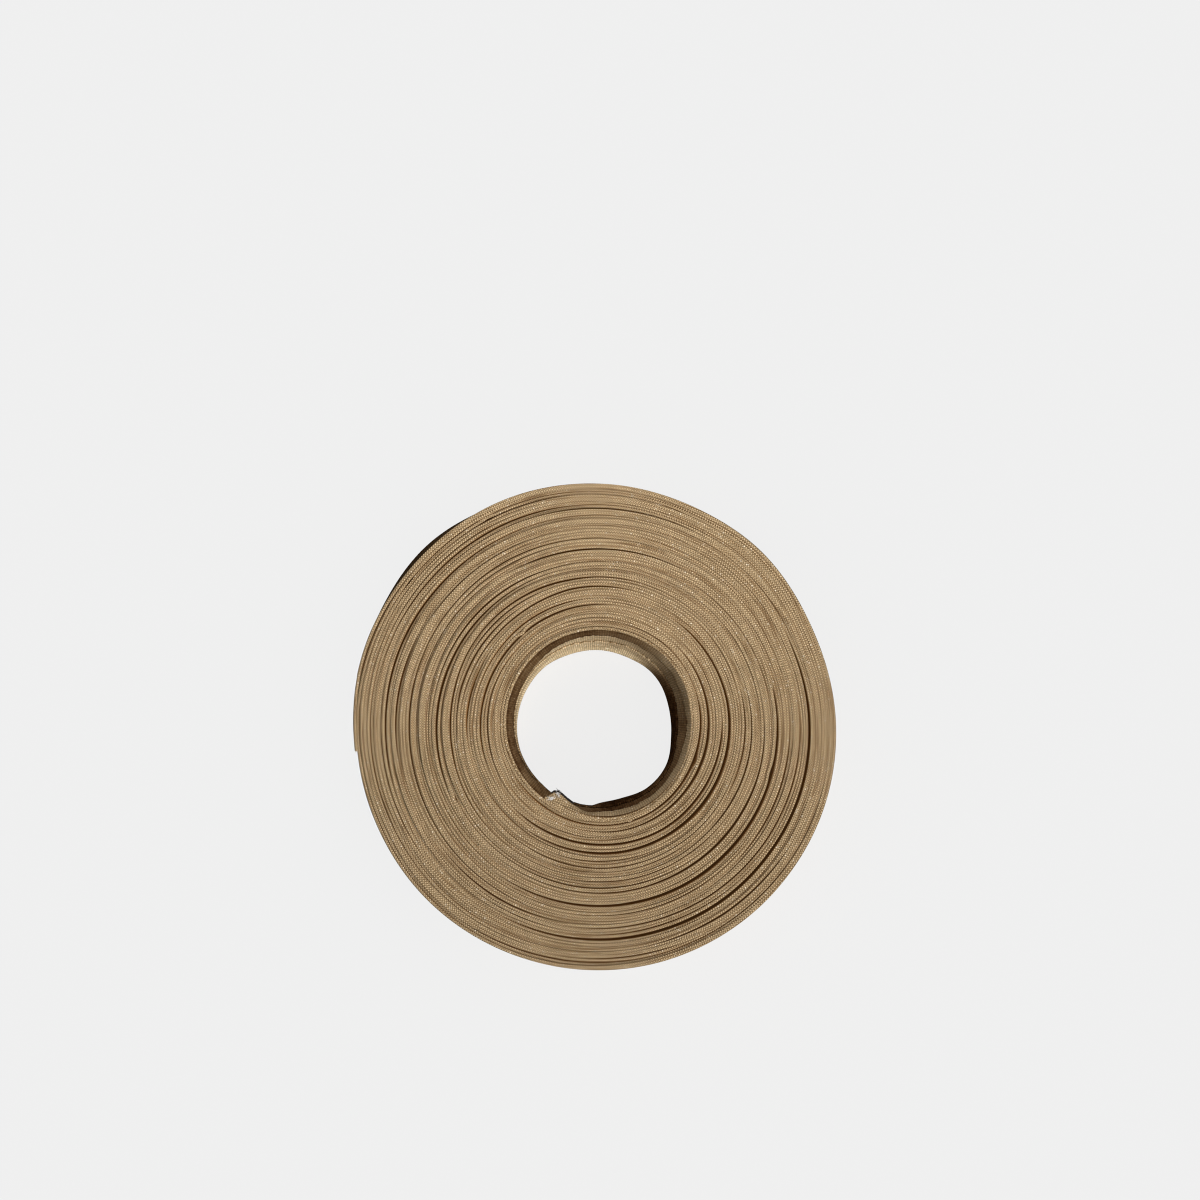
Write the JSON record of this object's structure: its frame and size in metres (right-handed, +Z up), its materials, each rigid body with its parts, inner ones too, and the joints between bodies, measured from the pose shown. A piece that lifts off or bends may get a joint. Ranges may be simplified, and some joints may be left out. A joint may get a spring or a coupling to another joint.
{
  "type": "roll of bias binding",
  "caption": "Flat roll of folded bias binding wound on itself with no core, its cut inner end sprung loose in the hole.",
  "frame": {"origin": "middle of the roll's outline on the surface it lies on", "axes": "+Z up along the axis of the winding, out of the front face; +Y towards the top of the picture, +X to its right"},
  "size_m": [0.0832, 0.0836, 0.012],
  "materials": {
    "binding_cloth": "matt plain-woven cotton, khaki tan, cut on the bias with both edges folded in"
  },
  "bodies": {
    "root": {"roll": "binding_cloth", "inner_end": "binding_cloth"}
  },
  "joints": []
}
